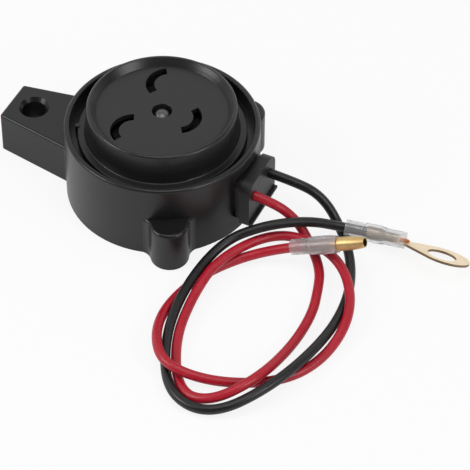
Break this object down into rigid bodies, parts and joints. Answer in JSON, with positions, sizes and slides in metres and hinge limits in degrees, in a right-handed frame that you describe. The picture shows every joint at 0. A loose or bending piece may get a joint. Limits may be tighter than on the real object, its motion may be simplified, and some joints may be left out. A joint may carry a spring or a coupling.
{
  "type": "reversing alarm",
  "caption": "Round black reversing alarm with a fixing ear, slotted sound cover, rubber grommet and two leads ending in a bullet and a ring terminal.",
  "frame": {"origin": "on the case's axis at its flat back face", "axes": "+Z out of the back towards the sound cover, -X along the fixing ear, +X out through the cable grommet"},
  "size_m": [0.1424, 0.1063, 0.0312],
  "materials": {
    "case_plastic": "satin moulded",
    "cover_plastic": "satin moulded",
    "grommet_rubber": "matte",
    "seal_rubber": "matte",
    "screw_steel": "zinc plated",
    "plated_steel": "plated",
    "polished_steel": "polished",
    "spring_steel": "satin",
    "bobbin_plastic": "natural",
    "enamelled_copper": "enamelled",
    "board_laminate": "lacquered",
    "component_plastic": "moulded",
    "capacitor_can": "drawn",
    "component_ceramic": "printed",
    "black_insulation": "satin",
    "red_insulation": "satin",
    "bullet_brass": "turned",
    "ring_brass": "stamped and plated",
    "milky_sleeve": "translucent",
    "clear_sleeve": "clear"
  },
  "bodies": {
    "root": {"housing": "case_plastic", "sound_cover": "cover_plastic", "rear_cover": "case_plastic", "cable_grommet": "grommet_rubber", "rear_seal": "seal_rubber", "diaphragm_gasket": "seal_rubber", "rear_cover_screws": "screw_steel", "board_screws": "screw_steel", "magnet_yoke": "plated_steel", "pole_core": "plated_steel", "armature": "plated_steel", "shaft_spacer": "plated_steel", "dome_nut": "polished_steel", "tone_disc": "spring_steel", "diaphragm": "spring_steel", "coil_bobbin": "bobbin_plastic", "coil_winding": "enamelled_copper", "coil_leads": "enamelled_copper", "circuit_board": "board_laminate", "oscillator_chip": "component_plastic", "power_transistor": "component_plastic", "filter_capacitor": "capacitor_can", "protection_diode": "component_plastic", "resistors": "component_ceramic", "black_wire": "black_insulation", "red_wire": "red_insulation", "bullet_terminal": "bullet_brass", "ring_terminal": "ring_brass", "bullet_sleeve": "milky_sleeve", "ring_sleeve": "clear_sleeve"}
  },
  "joints": []
}
